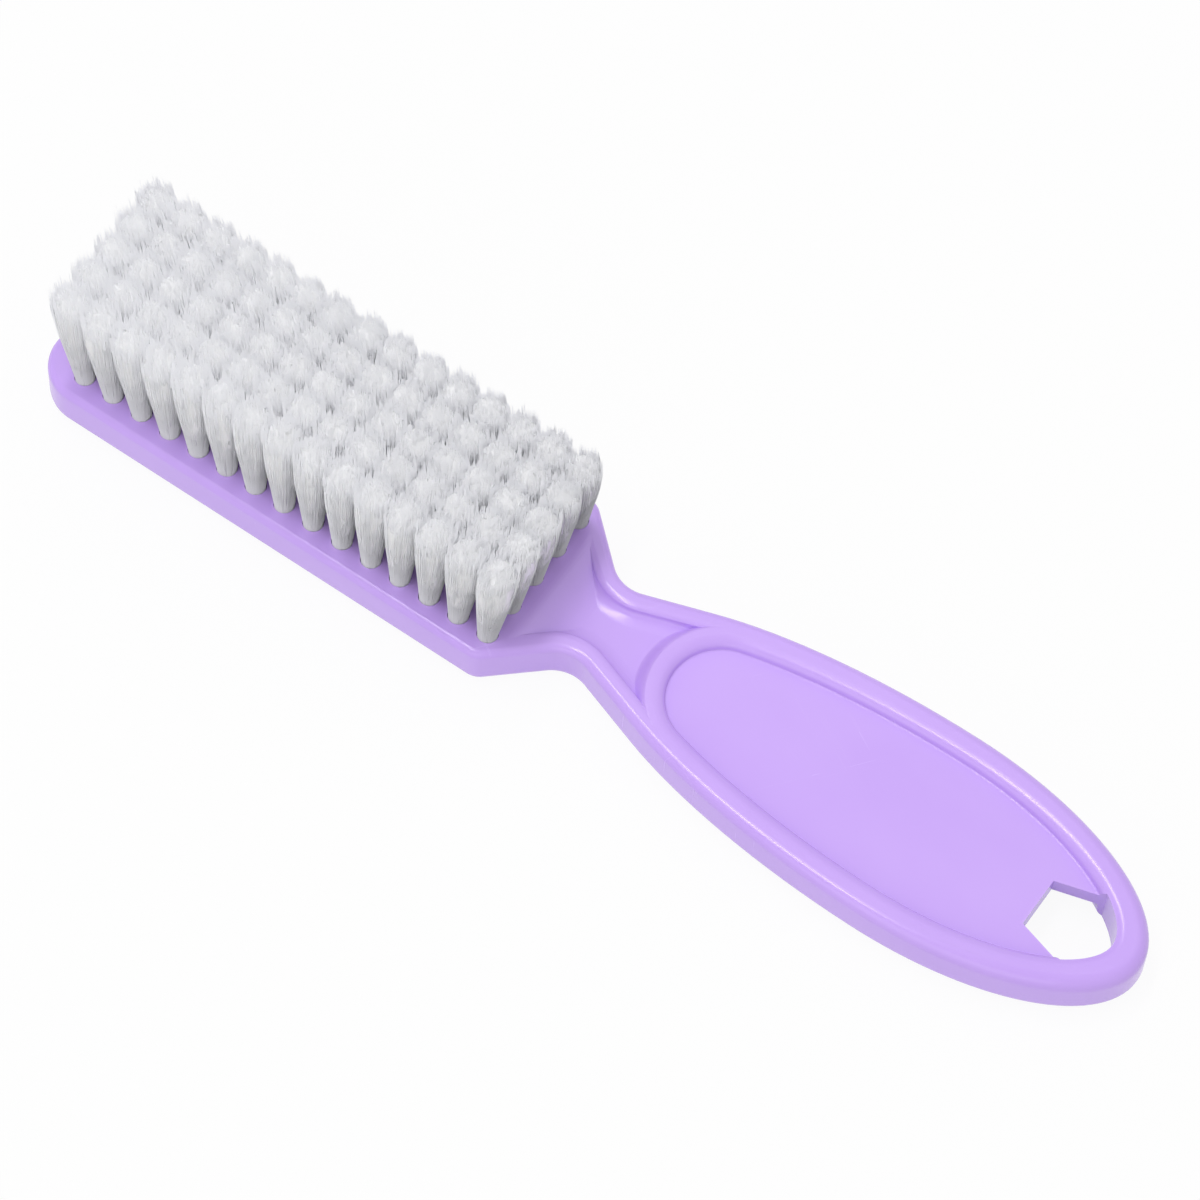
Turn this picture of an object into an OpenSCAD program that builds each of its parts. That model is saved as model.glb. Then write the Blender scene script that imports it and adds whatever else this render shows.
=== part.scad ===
// Handled nail brush: one moulded body, and bristle tufts held in blind holes by flat-wire anchors.
// Millimetres. The brush lies on its back with the bristles up. +X runs from the head to the tail,
// and the origin is at the middle of the length, on the surface that the brush lies on.

/* [Body] */
// Overall length
body_len = 156.9; // [145:0.1:172]
// Thickness of head, neck and rim
body_h = 7.2; // [6.4:0.1:8.5]
// Radius along the lower edge, at the back of the brush
back_edge_r = 1.8; // [0.6:0.1:2.4]
// Radius along the upper edge of the head and the neck
top_edge_r = 1; // [0.3:0.1:1.3]
// Radius along the upper edge at the tail's tip, reached evenly from the neck
tail_edge_r = 1.9; // [0.3:0.1:2.3]

/* [Head] */
// Length of the head, from its end to the shoulder corners
head_len = 68.3; // [60:0.1:74]
// Width of the head
head_w = 26.6; // [24:0.1:30]
// Radius of the two corners at the head's end
head_corner_r = 6; // [3:0.1:8]
// Radius of the shoulder corners
shoulder_r = 3; // [1.5:0.1:5]

/* [Neck] */
// Angle at which the shoulders draw in to the neck
shoulder_turn = 42; // [35:1:52]
// Width between the neck's two side corners, before they are rounded
neck_w = 10.5; // [9:0.1:12]
// Radius of the neck's side corners
neck_r = 5; // [3:0.1:6]
// Depth of the channel between the neck's side rims
channel_depth = 1.5; // [1:0.1:2.5]
// Width of the channel's side rims
channel_rim = 1.6; // [1.4:0.05:2.2]
// Length of the ramp from the tufted face down to the channel's floor
channel_ramp = 7; // [4:0.1:9]
// Distance from the last tuft holes to the ramp
ramp_gap = 0.35; // [0.1:0.05:1]
// Width of the hollow round where the channel's side walls meet its floor
channel_foot_w = 2; // [0.4:0.1:2.4]
// Width of the round along the channel's upper edges
channel_edge_w = 1; // [0.3:0.05:1.3]

/* [Handle] */
// Width of the oval handle
handle_w = 28.1; // [26:0.1:32]
// Distance from the handle's widest place to the tail's tip
handle_tail = 32.2; // [26:0.1:38]
// Width of the flat top of the rim round the oval recess, with its outer round
rim_w = 2.1; // [1.5:0.1:2.6]
// How much wider the rim is at the tail's tip
tail_rim_extra = 0.9; // [0:0.1:1.5]
// Depth of the recess at the bristle side
recess_depth = 1.4; // [0.8:0.1:2]
// Thickness of the web between that recess and the one at the back
web_t = 2.5; // [2:0.1:3.2]
// Radius of the recess at its head end
recess_end_r = 8.8; // [8:0.1:10]
// Width of the flat top of the ring between the recess and the neck channel
ring_w = 0.5; // [0.4:0.1:1.4]
// How far the ring's neck side slopes out to the channel's floor
ring_slope = 2; // [1:0.1:3]
// Width of the round along the recess's upper edge
recess_edge_w = 1.7; // [0.4:0.05:1.9]
// Width of the hollow round where the recess's wall meets the web
recess_foot_w = 0.3; // [0.1:0.05:0.5]

/* [Hanging hole] */
// Distance from the hole's straight edge to the tail's tip
hole_reach = 14.7; // [12:0.1:17]
// Width of the hole at its straight edge
hole_w = 6.9; // [5.5:0.1:8]
// Angle at which the hole's two short sides spread
hole_spread = 16; // [10:1:22]

/* [Tufts] */
// Columns of tufts along the head
tuft_cols = 15; // [13:1:15]
// Rows of tufts across the head
tuft_rows = 5; // [4:1:5]
// Distance from the head's end to the first column
tuft_inset_end = 6.2; // [5.5:0.1:8]
// Distance from the last column to the shoulder corners
tuft_inset_neck = 0.5; // [0:0.1:2]
// Distance from the head's sides to the outer rows
tuft_inset_side = 3.6; // [3.3:0.1:4.5]
// Diameter of a tuft hole
tuft_hole_d = 2.75; // [2.5:0.05:2.9]
// Depth of a tuft hole
tuft_hole_depth = 5.2; // [4.6:0.1:5.4]
// Clearance between a tuft and its hole's wall
tuft_fit = 0.05; // [0.03:0.01:0.08]
// How far a tuft's solid root stays below the face
tuft_sink = 0.3; // [0.1:0.05:0.6]
// Height of the bristles above the face
bristle_len = 18.5; // [15:0.1:22]
// Width of the middle bunch of a tuft where it opens out, and of the bunches round it
bunch_tip_w = 1.1; // [0.8:0.05:1.15]
// Width of a bunch at its root
bunch_root_w = 0.62; // [0.5:0.02:0.7]
// Radius of the circle on which the outer bunches stand at the root
bunch_root_r = 0.78; // [0.74:0.01:0.85]
// Radius of the circle that the outer bunches reach where the tuft is widest
bunch_tip_r = 1.45; // [1.3:0.05:1.5]
// How much lower the outer bunches end than the middle one
dome_drop = 0.8; // [0.3:0.1:1.2]
// Lean of the first column away from the handle, in degrees
splay_head = 7; // [0:0.5:9]
// Lean of the last column towards the handle, in degrees
splay_neck = 2.5; // [0:0.5:5]
// Lean of the outer rows towards the middle row, in degrees
draw_side = 3.5; // [0:0.5:4]

/* [Anchors] */
// Thickness of the flat wire
anchor_t = 0.35; // [0.25:0.05:0.45]
// Height of an anchor
anchor_h = 1.6; // [1.3:0.1:1.8]
// How far each end of an anchor bites into the plastic
anchor_bite = 0.25; // [0.15:0.05:0.35]
// Thickness of the bristles folded under an anchor
fold_t = 0.9; // [0.6:0.1:1.1]
// Turn of the anchors from the length of the head, in degrees
anchor_turn = 40; // [0:5:90]

/* [Hidden] */
// One overrun for every cut
overrun = 1;
// Outer bunches of a tuft, round the one in the middle
outer_bunches = 5;
// Share of a bunch's height at which it is widest
bunch_wide_share = 0.86;
// Turns that set each tuft a little differently from its neighbours, in degrees
turn_per_col = 37;
turn_per_row = 53;
// Least straight height of a pocket's wall between the round at its foot and the one at its edge
wall_least = 0.1;
// Share of the recess's edge round that is left at the hole's round side
hole_side_share = 0.7;
// Steps of the rounded edges, of the soft slopes and of the outline's arcs
edge_steps = 3;
back_steps = 4;
recess_steps = 5;
slope_steps = 8;
corner_steps = 8;
shoulder_steps = 4;
neck_steps = 6;
front_steps = 14;
tail_steps = 20;
end_steps = 12;

// Places along the length
head_x = -body_len / 2;
shoulder_x = head_x + head_len;
neck_x = shoulder_x + (head_w - neck_w) / 2 / tan(shoulder_turn);
oval_x = body_len / 2 - handle_tail;
hole_x = body_len / 2 - hole_reach;

// The handle's outline is two half ellipses that share their width. The front one starts under the neck.
oval_half_w = handle_w / 2;
oval_front = oval_x - neck_x;

// The straight flare leaves the neck's side corner and touches the front ellipse
flare_touch = 2 * atan2(neck_w / handle_w, -1) - 180;
flare_turn = atan2(oval_half_w * sin(flare_touch) - neck_w / 2, oval_front * (1 + cos(flare_touch)));

// The recess's round head end is a circle inscribed in the front ellipse
end_circle_r = recess_end_r + rim_w;
oval_focus2 = pow(oval_front, 2) - pow(oval_half_w, 2);
end_circle_back = sqrt(oval_focus2 * (1 - pow(end_circle_r / oval_half_w, 2)));
end_circle_x = oval_x - end_circle_back;
end_touch = 180 - acos(end_circle_back * oval_front / oval_focus2);

// Depth of the recess at the back
back_recess_depth = body_h - recess_depth - web_t;

// Radius along the body's upper edge
function edge_r(x) =
    top_edge_r + (tail_edge_r - top_edge_r) * max(0, (x - neck_x) / (body_len / 2 - neck_x));

// Tuft places
col_step = (head_len - tuft_inset_end - tuft_inset_neck) / (tuft_cols - 1);
row_step = (head_w - 2 * tuft_inset_side) / (tuft_rows - 1);
ramp_x = col_x(tuft_cols - 1) + tuft_hole_d / 2 + ramp_gap;
hole_floor_z = body_h - tuft_hole_depth;
root_top_z = body_h - tuft_sink;
anchor_z = hole_floor_z + fold_t;

function col_x(i) = head_x + tuft_inset_end + i * col_step;
function row_y(j) = (j - (tuft_rows - 1) / 2) * row_step;
function lean_x(i) = -splay_head + (splay_head + splay_neck) * i / (tuft_cols - 1);
function lean_y(j) = -draw_side * (2 * j / (tuft_rows - 1) - 1);

function two_digits(i) = i < 10 ? str("0", i) : str(i);
function tuft_name(i) = str("tuft_col_", two_digits(i + 1));
function anchor_name(i) = str("anchor_col_", two_digits(i + 1));

// Points of an outline's half with y >= 0, each as [x, y, outward normal x, outward normal y]
function arc(cx, cy, r, from, to, steps, side = 1) = [
    for (k = [0:steps])
        let (a = from + (to - from) * k / steps)
        [cx + r * cos(a), cy + r * sin(a), side * cos(a), side * sin(a)]
];

function oval_arc(reach, from, to, steps) = [
    for (k = [0:steps])
        let (
            a = from + (to - from) * k / steps,
            n = [cos(a) / reach, sin(a) / oval_half_w],
            u = n / norm(n)
        )
        [oval_x + reach * cos(a), oval_half_w * sin(a), u[0], u[1]]
];

function after_first(points) = [for (k = [1:len(points) - 1]) points[k]];

// Outline pieces, from the head's end to the tail
head_corner = arc(head_x + head_corner_r, head_w / 2 - head_corner_r, head_corner_r, 180, 90, corner_steps);

shoulder_corner = arc(
    shoulder_x - shoulder_r * tan(shoulder_turn / 2), head_w / 2 - shoulder_r,
    shoulder_r, 90, 90 - shoulder_turn, shoulder_steps
);

// The neck's corner is hollow, so its centre lies outside the body
neck_out = neck_r / cos((shoulder_turn + flare_turn) / 2);
neck_out_turn = 90 + (flare_turn - shoulder_turn) / 2;
neck_corner = arc(
    neck_x + neck_out * cos(neck_out_turn), neck_w / 2 + neck_out * sin(neck_out_turn),
    neck_r, 270 - shoulder_turn, 270 + flare_turn, neck_steps, -1
);

body_outline = concat(
    head_corner,
    shoulder_corner,
    neck_corner,
    oval_arc(oval_front, flare_touch, 90, front_steps),
    after_first(oval_arc(handle_tail, 90, 0, tail_steps))
);

// The recess follows the handle's outline, with the inscribed circle at its head end
recess_outline = concat(
    arc(end_circle_x, 0, end_circle_r, 180, atan2(sin(end_touch) / oval_half_w, cos(end_touch) / oval_front), end_steps),
    after_first(oval_arc(oval_front, end_touch, 90, front_steps)),
    after_first(oval_arc(handle_tail - tail_rim_extra, 90, 0, tail_steps))
);

// The channel follows the shoulders and the neck as far as the inscribed circle
channel_outline = concat(
    shoulder_corner,
    neck_corner,
    oval_arc(oval_front, flare_touch, end_touch, neck_steps)
);

// A closed ring of points. A level is [inset, z], or [inset, z, share in, share down] where the upper
// edge's own radius draws the ring in and lowers it by these shares.
function ring(half, level) =
    let (p = [
        for (q = half)
            let (
                r = len(level) > 2 ? edge_r(q[0]) : 0,
                inset = level[0] + (r > 0 ? r * level[2] : 0),
                z = level[1] - (r > 0 ? r * level[3] : 0)
            )
            [q[0] - inset * q[2], q[1] - inset * q[3], z]
    ])
    concat(p, [for (k = [len(p) - 1:-1:0]) if (p[k][1] > 0) [p[k][0], -p[k][1], p[k][2]]]);

// Solid through one ring a level, lowest first
module loft(half, levels) {
    n = len(half);
    starts_on_axis = half[0][1] == 0 ? 1 : 0;
    ends_on_axis = half[n - 1][1] == 0 ? 1 : 0;
    m = 2 * n - starts_on_axis - ends_on_axis;
    top = (len(levels) - 1) * m;
    // Index of the mirror image of point k
    function twin(k) = (k == 0 && starts_on_axis == 1) || (k == n - 1 && ends_on_axis == 1)
        ? k
        : 2 * n - 1 - ends_on_axis - k;
    function strip(k) =
        twin(k + 1) == k + 1 ? [k, k + 1, twin(k)] :
        twin(k) == k ? [k, k + 1, twin(k + 1)] :
        [k, k + 1, twin(k + 1), twin(k)];
    function reversed(f) = [for (k = [len(f) - 1:-1:0]) f[k]];
    points = [for (level = levels) each ring(half, level)];
    walls = [
        for (row = [0:len(levels) - 2], k = [0:m - 1])
            let (
                a = row * m + k,
                b = row * m + (k + 1) % m,
                c = b + m,
                d = a + m
            )
            each [[a, b, c], [a, c, d]]
    ];
    caps = [for (k = [0:n - 2]) each [reversed(strip(k)), [for (i = strip(k)) i + top]]];
    polyhedron(points = points, faces = concat(walls, caps), convexity = 6);
}

// Levels of the body: round at the back, a tighter round at the top
body_levels = concat(
    [for (k = [0:back_steps]) let (a = 90 * k / back_steps)
        [back_edge_r * (1 - sin(a)), back_edge_r * (1 - cos(a))]],
    [for (k = [0:edge_steps]) let (a = 90 * k / edge_steps)
        [0, body_h, 1 - cos(a), 1 - sin(a)]]
);

// Levels of a pocket, from its floor to past its mouth: round at the foot and at the upper edge. In
// a pocket that is shallower than its rounds are wide, they are flattened to fit.
function pocket_levels(rim, edge_w, steps, foot_w, depth) =
    let (rise = min(1, (depth - wall_least) / (edge_w + foot_w)))
    concat(
        [for (k = [0:steps]) let (a = 90 * k / steps)
            [rim + edge_w + foot_w * (1 - sin(a)), rise * foot_w * (1 - cos(a))]],
        [for (k = [0:steps]) let (a = 90 * k / steps)
            [rim + edge_w * cos(a), depth - rise * edge_w * (1 - sin(a))]],
        [[rim, depth + overrun]]
    );

module recess_cut(depth) {
    loft(recess_outline, pocket_levels(rim_w, recess_edge_w, recess_steps, recess_foot_w, depth));
}

// Section under a soft slope that falls from the channel's depth to its floor, from x = start to start + run
module soft_slope(start, run) {
    polygon(concat(
        [[0, -overrun], [0, channel_depth + overrun], [start, channel_depth + overrun]],
        [for (k = [0:slope_steps])
            [start + run * k / slope_steps, channel_depth * (1 + cos(180 * k / slope_steps)) / 2]],
        [[start + run, -overrun]]
    ));
}

// The channel's floor starts with a ramp, and ends at the sloping neck side of the ring
module channel_cut() {
    translate([0, 0, body_h - channel_depth])
        difference() {
            loft(
                channel_outline,
                pocket_levels(channel_rim, channel_edge_w, edge_steps, channel_foot_w, channel_depth)
            );
            translate([head_x, head_w, 0])
                rotate([90, 0, 0])
                    linear_extrude(height = 2 * head_w)
                        soft_slope(ramp_x - head_x, channel_ramp);
            translate([end_circle_x, 0, 0])
                rotate_extrude($fn = 96)
                    soft_slope(recess_end_r + ring_w, ring_slope);
        }
}

// A straight edge and two spreading sides across the web, and the rim's round inner wall
module hanging_hole_cut() {
    reach = hole_reach + overrun;
    far_w = hole_w / 2 + reach * tan(hole_spread);
    round_side = ring(recess_outline, [rim_w + hole_side_share * recess_edge_w, 0]);
    translate([0, 0, -overrun])
        linear_extrude(height = body_h + 2 * overrun)
            intersection() {
                polygon([
                    [hole_x, -hole_w / 2],
                    [hole_x + reach, -far_w],
                    [hole_x + reach, far_w],
                    [hole_x, hole_w / 2]
                ]);
                polygon([for (p = round_side) [p[0], p[1]]]);
            }
}

// Blind hole of one tuft, with the slots that its anchor bites into
module tuft_hole_cut() {
    translate([0, 0, hole_floor_z])
        cylinder(h = tuft_hole_depth + overrun, d = tuft_hole_d, $fn = 32);
    anchor();
}

module at_tufts_of_col(i) {
    for (j = [0:tuft_rows - 1])
        translate([col_x(i), row_y(j), 0])
            children();
}

module brush_body() {
    color("#c6a2fc")
        difference() {
            loft(body_outline, body_levels);
            translate([0, 0, body_h - recess_depth])
                recess_cut(recess_depth);
            translate([0, 0, back_recess_depth])
                mirror([0, 0, 1])
                    recess_cut(back_recess_depth);
            channel_cut();
            hanging_hole_cut();
            for (i = [0:tuft_cols - 1])
                at_tufts_of_col(i)
                    tuft_hole_cut();
        }
}

// A bunch of bristles: four sides that widen to the shoulder and close in a point.
// root and wide are the places of its axis at the root and at the widest level.
module bunch(root, wide, tip, turn) {
    function square_ring(at, w) = [
        for (k = [0:3])
            let (a = turn + 45 + 90 * k)
            at + w / sqrt(2) * [cos(a), sin(a), 0]
    ];
    points = concat(square_ring(root, bunch_root_w), square_ring(wide, bunch_tip_w), [tip]);
    faces = concat(
        [[0, 1, 2], [0, 2, 3]],
        [for (k = [0:3]) each [[k, 4 + k, 4 + (k + 1) % 4], [k, 4 + (k + 1) % 4, (k + 1) % 4]]],
        [for (k = [0:3]) [4 + k, 8, 4 + (k + 1) % 4]]
    );
    polyhedron(points = points, faces = faces);
}

// One tuft, with its bunches fused to the root that fills the hole
module tuft(i, j) {
    lean = [tan(lean_x(i)), tan(lean_y(j)), 1];
    tuft_turn = turn_per_col * i + turn_per_row * j;
    root_z = root_top_z - bunch_root_w;
    rise = body_h + bristle_len - root_top_z;
    // A place at height h above the root's top, out from the tuft's axis by r
    function place(h, r, a) = [0, 0, root_top_z] + h * lean + r * [cos(a), sin(a), 0];
    difference() {
        union() {
            translate([0, 0, hole_floor_z])
                cylinder(h = root_top_z - hole_floor_z, d = tuft_hole_d - 2 * tuft_fit, $fn = 32);
            bunch(
                [0, 0, root_z],
                place(rise * bunch_wide_share, 0, 0),
                place(rise, 0, 0),
                tuft_turn
            );
            for (k = [0:outer_bunches - 1]) {
                a = tuft_turn + 360 * k / outer_bunches;
                bunch(
                    [bunch_root_r * cos(a), bunch_root_r * sin(a), root_z],
                    place(rise * bunch_wide_share - dome_drop, bunch_tip_r, a),
                    place(rise - dome_drop, bunch_tip_r, a),
                    a
                );
            }
        }
        anchor();
    }
}

module tuft_col(i) {
    color("#f4f5fb")
        for (j = [0:tuft_rows - 1])
            translate([col_x(i), row_y(j), 0])
                tuft(i, j);
}

// Flat wire, cut to length, lying across its hole with its ends in the plastic
module anchor() {
    rotate([0, 0, anchor_turn])
        translate([-tuft_hole_d / 2 - anchor_bite, -anchor_t / 2, anchor_z])
            cube([tuft_hole_d + 2 * anchor_bite, anchor_t, anchor_h]);
}

module anchor_col(i) {
    color("#c9b37a")
        at_tufts_of_col(i)
            anchor();
}

brush_body();
for (i = [0:tuft_cols - 1]) {
    tuft_col(i);
    anchor_col(i);
}
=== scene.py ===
# %% [markdown]
# # A handled nail brush
#
# The brush is one moulding of lavender plastic with seventy-five tufts of white nylon. The packed
# model gives every piece its place and size. This script dresses it: it models the moulding and the
# filaments finely, gives each surface its finish, and lights it as a studio would.
#
# The script's own unit is the millimetre, because the sizes of such a brush are read in it. Each
# finished mesh is scaled to metres, which is the unit of the model. +X runs from the head to the
# tail, +Y across the brush and +Z up, the way the bristles point.

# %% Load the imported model
import math
import random

import bmesh
import bpy
from mathutils import Matrix, Vector


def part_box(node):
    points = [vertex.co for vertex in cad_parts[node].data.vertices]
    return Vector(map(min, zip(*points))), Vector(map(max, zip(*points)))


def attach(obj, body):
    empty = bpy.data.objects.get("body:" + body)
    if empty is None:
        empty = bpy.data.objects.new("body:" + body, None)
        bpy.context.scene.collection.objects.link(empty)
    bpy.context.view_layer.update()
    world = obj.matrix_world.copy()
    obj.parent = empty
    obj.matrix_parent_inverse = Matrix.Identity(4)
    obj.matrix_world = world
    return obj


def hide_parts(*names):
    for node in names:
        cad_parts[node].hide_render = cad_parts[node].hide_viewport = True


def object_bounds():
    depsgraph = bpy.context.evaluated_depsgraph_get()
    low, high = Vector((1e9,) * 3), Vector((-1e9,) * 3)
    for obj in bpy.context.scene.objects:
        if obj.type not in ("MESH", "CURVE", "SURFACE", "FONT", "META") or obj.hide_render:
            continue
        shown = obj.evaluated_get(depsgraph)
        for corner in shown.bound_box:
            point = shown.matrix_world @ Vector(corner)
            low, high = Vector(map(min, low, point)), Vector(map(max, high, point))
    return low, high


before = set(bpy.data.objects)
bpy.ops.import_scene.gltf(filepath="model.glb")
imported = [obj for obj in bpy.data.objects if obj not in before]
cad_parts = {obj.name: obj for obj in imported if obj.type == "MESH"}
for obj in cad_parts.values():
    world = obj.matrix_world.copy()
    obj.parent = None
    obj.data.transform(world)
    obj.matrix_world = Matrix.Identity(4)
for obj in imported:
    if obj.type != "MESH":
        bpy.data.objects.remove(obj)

MM = 0.001
cad_low, cad_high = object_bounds()
body_low, body_high = (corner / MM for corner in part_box("brush_body"))
print("CAD box in mm:", [round(v / MM, 2) for v in (*cad_low, *cad_high)])

# %% [markdown]
# ## The camera
#
# The photograph was taken from high above the tail's side with a long lens, which is why the head
# and the tail look almost equally large. The camera was found by fitting the grid of tuft holes:
# a turn about the vertical, a tilt down, a slight roll, and a place about 0.75 m away. Building it
# from those three rotations keeps each of them a number that can be read and changed.

# %% Camera
CAMERA_PLACE = Vector((171.5, -284.5, 664.8))
CAMERA_TURN = 31.2
CAMERA_TILT = 63.0
CAMERA_ROLL = 4.0
SENSOR_WIDTH = 36
LENS = 180


def turned(degrees, axis):
    """Rotation about one of the axes, as a 4 by 4 matrix."""
    return Matrix.Rotation(math.radians(degrees), 4, axis)


camera = bpy.data.objects.new("camera", bpy.data.cameras.new("camera"))
camera.data.sensor_width = SENSOR_WIDTH
camera.data.lens = LENS
camera.matrix_world = (
    Matrix.Translation(CAMERA_PLACE * MM)
    @ turned(CAMERA_TURN, "Z")
    @ turned(90 - CAMERA_TILT, "X")
    @ turned(CAMERA_ROLL, "Z")
)
bpy.context.scene.collection.objects.link(camera)
bpy.context.scene.camera = camera
print("camera looks along", [round(v, 3) for v in camera.matrix_world.col[2].xyz * -1])

# %% [markdown]
# ## The moulding's sizes
#
# The length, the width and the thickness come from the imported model, so the dressed body always
# has its size. The rest are the moulding's own sizes: the head's corners, the waist of the neck, the
# rim round the handle's recess, and the small rounds that a mould maker puts on every edge. The
# handle is two half ellipses that share their width, and the recess's head end is a circle that
# touches the front one from inside.

# %% Sizes of the body
head_x = body_low.x
tail_x = body_high.x
handle_w = body_high.y - body_low.y
body_h = body_high.z
HEAD_LEN = 68.3
HEAD_W = 26.6
HEAD_CORNER_R = 6
SHOULDER_R = 3
SHOULDER_TURN = 42
NECK_W = 10.5
NECK_R = 5
HANDLE_TAIL = 32.2
BACK_EDGE_R = 1.8
TOP_EDGE_R = 1.0
TAIL_EDGE_R = 1.9

shoulder_x = head_x + HEAD_LEN
neck_x = shoulder_x + (HEAD_W - NECK_W) / 2 / math.tan(math.radians(SHOULDER_TURN))
oval_x = tail_x - HANDLE_TAIL
oval_front = oval_x - neck_x
oval_half_w = handle_w / 2

# The flare is a straight line from the neck's corner that touches the front ellipse
flare_touch = 2 * math.degrees(math.atan2(NECK_W / handle_w, -1)) - 180
flare_rise = oval_half_w * math.sin(math.radians(flare_touch)) - NECK_W / 2
flare_run = oval_front * (1 + math.cos(math.radians(flare_touch)))
flare_turn = math.degrees(math.atan2(flare_rise, flare_run))
print("handle", round(oval_front + HANDLE_TAIL, 1), "mm long, its flare turned", round(flare_turn, 1))

# %% [markdown]
# ## Drawing an outline
#
# Every part of the brush is a flat outline that was given a thickness, so the outline comes first.
# A point spun about a centre leaves an arc behind it, and an arc scaled more along X than along Y
# is an ellipse. Half the outline is drawn so, joined, and mirrored across the long axis, which makes
# the body symmetric. Typing a list of points would be harder to read and to change.

# %% Helpers that draw outlines
HAIR = 0.01
TOUCHING = HAIR / 5
CORNER_STEP = 3.0


def arc(bm, centre, reach, start, end):
    """Draws an arc about centre between two angles. reach is its radius along X and along Y."""
    steps = max(1, round(abs(end - start) / CORNER_STEP))
    first = bm.verts.new((1, 0, 0))
    bmesh.ops.rotate(bm, verts=[first], cent=(0, 0, 0), matrix=turned(start, "Z").to_3x3())
    bmesh.ops.spin(
        bm, geom=[first], cent=(0, 0, 0), axis=(0, 0, 1), angle=math.radians(end - start), steps=steps
    )
    bm.verts.ensure_lookup_table()
    points = bm.verts[-steps - 1:]
    bmesh.ops.scale(bm, verts=points, vec=(*reach, 1))
    bmesh.ops.translate(bm, verts=points, vec=(*centre, 0))
    return points


def merge(bm, distance=TOUCHING):
    """Joins points that lie on each other."""
    bmesh.ops.remove_doubles(bm, verts=bm.verts[:], dist=distance)


def fill_half_outline(bm, chains):
    """Joins chains of points in order, mirrors them across the long axis and fills the loop."""
    for one, following in zip(chains, chains[1:]):
        bm.edges.new((one[-1], following[0]))
    merge(bm)
    bmesh.ops.mirror(
        bm, geom=bm.verts[:] + bm.edges[:], matrix=Matrix.Identity(4), merge_dist=TOUCHING, axis="Y"
    )
    merge(bm)
    bmesh.ops.edgeloop_fill(bm, edges=bm.edges[:])
    bm.faces.ensure_lookup_table()
    face = bm.faces[0]
    if face.normal.z < 0:
        bmesh.ops.reverse_faces(bm, faces=[face])
    return face


def neck_corner(bm):
    """The hollow corner between shoulder and flare, whose centre lies outside the body."""
    reach = NECK_R / math.cos(math.radians(SHOULDER_TURN + flare_turn) / 2)
    way = math.radians(90 + (flare_turn - SHOULDER_TURN) / 2)
    centre = (neck_x + reach * math.cos(way), NECK_W / 2 + reach * math.sin(way))
    return arc(bm, centre, (NECK_R, NECK_R), 270 - SHOULDER_TURN, 270 + flare_turn)


def handle_front(bm, start, end):
    """An arc of the handle's front ellipse."""
    return arc(bm, (oval_x, 0), (oval_front, oval_half_w), start, end)


def handle_back(bm, short=0):
    """The quarter of the handle's tail ellipse, from its widest place to the tip, drawn in by short."""
    return arc(bm, (oval_x, 0), (HANDLE_TAIL - short, oval_half_w), 90, 0)


# %% [markdown]
# ## The block of the body
#
# The outline is extruded to the body's thickness, and its upper and lower edges are rounded with the
# bevel operator. The lower edges, at the back of the brush, have the larger radius, because they lie
# in the palm. Six segments on an edge are enough for a highlight to run along it without a kink.
#
# The upper edge is tight on the head and grows to almost twice the radius at the tail. The operator
# knows one radius only. So the outline's points first note which way is outwards and how much larger
# the radius is there. The bevel hands these notes on to the points that it makes, and each point of
# the round is then moved in and down by its share.

# %% Body block
EDGE_SEGMENTS = 6


def rounded(bm, edges, radius, segments=EDGE_SEGMENTS):
    """Rounds edges with the bevel operator."""
    return bmesh.ops.bevel(
        bm,
        geom=edges,
        offset=radius,
        offset_type="OFFSET",
        affect="EDGES",
        segments=segments,
        profile=0.5,
        material=-1,
        clamp_overlap=False,
    )


def extruded(bm, face, height):
    """Gives a flat face a thickness, and returns the face that was lifted."""
    made = bmesh.ops.extrude_face_region(bm, geom=[face])["geom"]
    lifted = [v for v in made if isinstance(v, bmesh.types.BMVert)]
    bmesh.ops.translate(bm, verts=lifted, vec=(0, 0, height))
    bmesh.ops.recalc_face_normals(bm, faces=bm.faces[:])
    return next(f for f in made if isinstance(f, bmesh.types.BMFace))


def level_edges(bm, height):
    """Edges that lie at one height."""
    return [e for e in bm.edges if all(abs(v.co.z - height) < TOUCHING for v in e.verts)]


def object_from(bm, name):
    """Turns a bmesh into an object of the scene, still in millimetres, and says whether it is closed."""
    bmesh.ops.recalc_face_normals(bm, faces=bm.faces[:])
    mesh = bpy.data.meshes.new(name)
    bm.to_mesh(mesh)
    open_edges = sum(not e.is_manifold for e in bm.edges)
    print(f"{name}: {len(bm.faces)} faces, {bm.calc_volume():.1f} cubic mm, {open_edges} open edges")
    bm.free()
    made = bpy.data.objects.new(name, mesh)
    bpy.context.scene.collection.objects.link(made)
    return made


def note_growth(bm):
    """Notes at each point of the upper outline which way is outwards, and how much its radius grows."""
    note = bm.verts.layers.float_vector.new("growth")
    bm.normal_update()
    for vert in bm.verts:
        share = max(0, (vert.co.x - neck_x) / (tail_x - neck_x))
        outward = vert.normal.xy.normalized()
        vert[note] = (outward.x, outward.y, share * (TAIL_EDGE_R - TOP_EDGE_R))
    return note


def grow_round(bm, note):
    """Moves the points of the upper round in and down by what was noted."""
    for vert in bm.verts:
        drop = (body_h - vert.co.z) / TOP_EDGE_R
        if drop < 1 + HAIR:
            x, y, growth = vert[note]
            turn = math.asin(max(0, 1 - drop))
            across = 1 - math.cos(turn)
            vert.co -= Vector((x * across, y * across, 1 - math.sin(turn))) * growth
    bm.verts.layers.float_vector.remove(note)


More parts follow.
